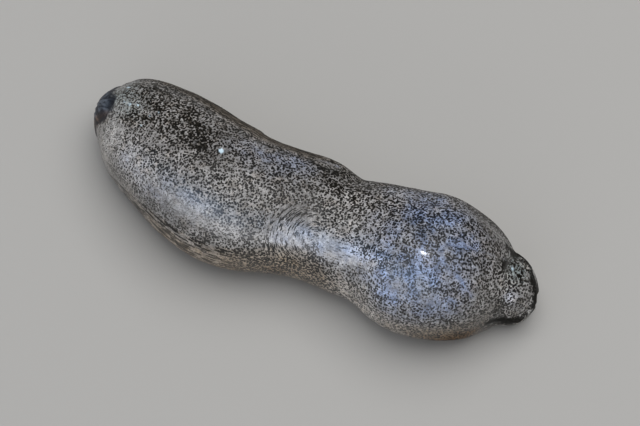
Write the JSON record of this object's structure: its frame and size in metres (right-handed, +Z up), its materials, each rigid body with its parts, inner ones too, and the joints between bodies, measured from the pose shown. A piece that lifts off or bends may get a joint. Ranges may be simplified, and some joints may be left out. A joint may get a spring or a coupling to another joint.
{
  "type": "sea cucumber, smooth-skinned burrowing kind",
  "caption": "Life-size sea cucumber at rest: a smooth, flecked, sausage-shaped body with a blunt mouth end, a waist and a short blunt tail, lying on its flattened sole.",
  "frame": {"origin": "on the floor under the middle of the body's plan", "axes": "+X along the body from the mouth to the tail, +Y across it to the far flank, +Z up from the floor"},
  "size_m": [0.1218, 0.0394, 0.0278],
  "materials": {
    "body_skin": "wet, smooth, pale violet-grey with dense dark brown flecks",
    "oral_skin": "wet, smooth, dark slate",
    "tail_skin": "wet, finely puckered, pale violet-grey nearly covered by dark flecks"
  },
  "bodies": {
    "root": {"oral_disc": "oral_skin", "head_end": "body_skin", "fore_trunk": "body_skin", "mid_trunk": "body_skin", "waist": "body_skin", "hind_trunk": "body_skin", "tail_taper": "body_skin", "tail_knob": "tail_skin"}
  },
  "joints": []
}
